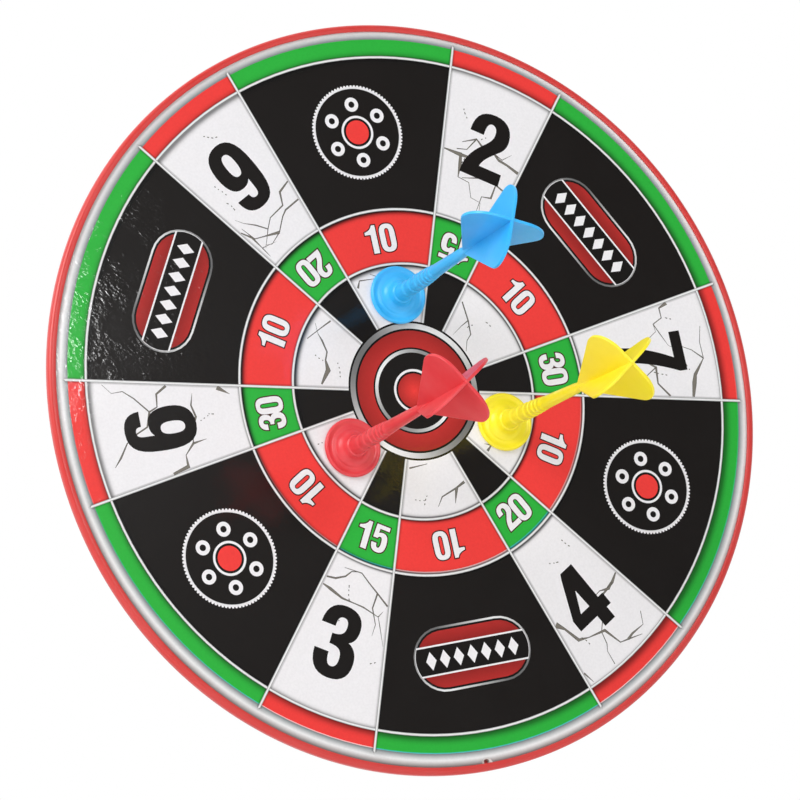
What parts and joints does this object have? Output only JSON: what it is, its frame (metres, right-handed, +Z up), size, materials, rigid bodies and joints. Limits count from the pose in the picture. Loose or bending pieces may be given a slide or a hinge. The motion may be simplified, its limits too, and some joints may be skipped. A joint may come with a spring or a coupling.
{
  "type": "toy suction dartboard",
  "caption": "Round laminated target board with a red plastic edge trim, and soft suction-cup darts standing on its printed scoring face; each dart pulls straight off.",
  "frame": {"origin": "centre of the round board, on the plane of the edge trim's rear lip, where the board lies against the wall", "axes": "+Z up as the numbers read, +X to the right seen from the front, +Y from the printed face into the wall"},
  "size_m": [0.3598, 0.1411, 0.3598],
  "materials": {
    "core": "plain pale paperboard",
    "print": "printed paper under a glossy film",
    "back": "plain uncoated paper",
    "trim": "satin red soft plastic",
    "blue": "satin soft plastic, slightly translucent",
    "red": "satin soft plastic, slightly translucent",
    "yellow": "satin soft plastic, slightly translucent"
  },
  "bodies": {
    "board": {"board_core": "core", "front_print_sheet": "print", "back_sheet": "back", "edge_trim": "trim"},
    "blue_dart": {"blue_suction_cup": "blue", "blue_shaft_flight": "blue"},
    "red_dart": {"red_suction_cup": "red", "red_shaft_flight": "red"},
    "yellow_dart": {"yellow_suction_cup": "yellow", "yellow_shaft_flight": "yellow"}
  },
  "joints": [
    {"name": "blue_dart_pull", "type": "slide", "parent": "board", "child": "blue_dart", "axis": [0, -1, 0], "range_m": [0, 0.16]},
    {"name": "red_dart_pull", "type": "slide", "parent": "board", "child": "red_dart", "axis": [0, -1, 0], "range_m": [0, 0.16]},
    {"name": "yellow_dart_pull", "type": "slide", "parent": "board", "child": "yellow_dart", "axis": [0, -1, 0], "range_m": [0, 0.16]}
  ]
}
